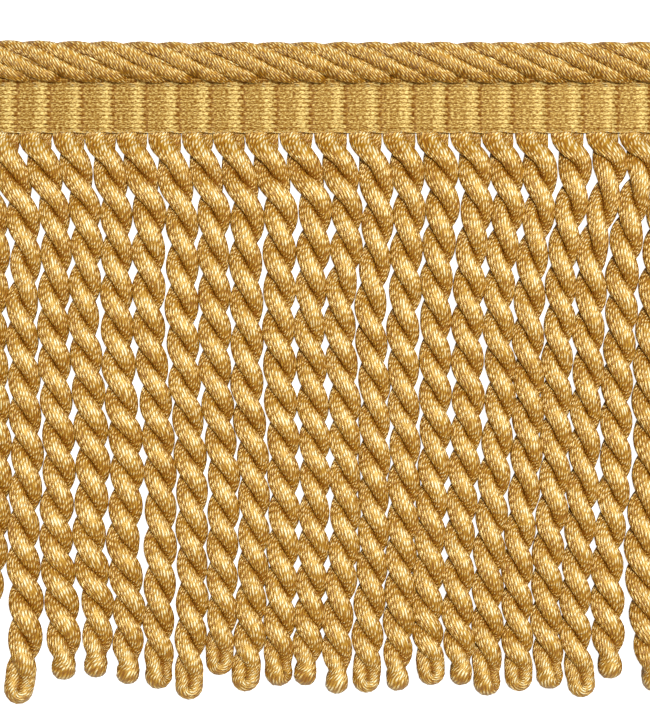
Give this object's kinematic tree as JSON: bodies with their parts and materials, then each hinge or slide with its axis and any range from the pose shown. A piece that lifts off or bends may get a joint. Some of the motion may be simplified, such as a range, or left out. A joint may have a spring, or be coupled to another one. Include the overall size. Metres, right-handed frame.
{
  "type": "cord fringe trim",
  "caption": "Cut length of thick twisted cord fringe with a ribbed woven heading and a rope top edge, for edging cushions, curtains and upholstery.",
  "frame": {"origin": "on the surface that the trim lies on, under the middle of its bounding box", "axes": "+X along the trim, +Y from the cord tips to the rope edge, +Z out of its face"},
  "size_m": [0.171, 0.1527, 0.0075],
  "materials": {
    "rope_yarn": "lustrous gold rayon rope",
    "heading_weave": "tight gold rayon weave over ribs",
    "cord_yarn": "lustrous gold rayon two-ply cord"
  },
  "bodies": {
    "root": {"edge_rope": "rope_yarn", "heading_band": "heading_weave", "bullion_skirt": "cord_yarn"}
  },
  "joints": []
}
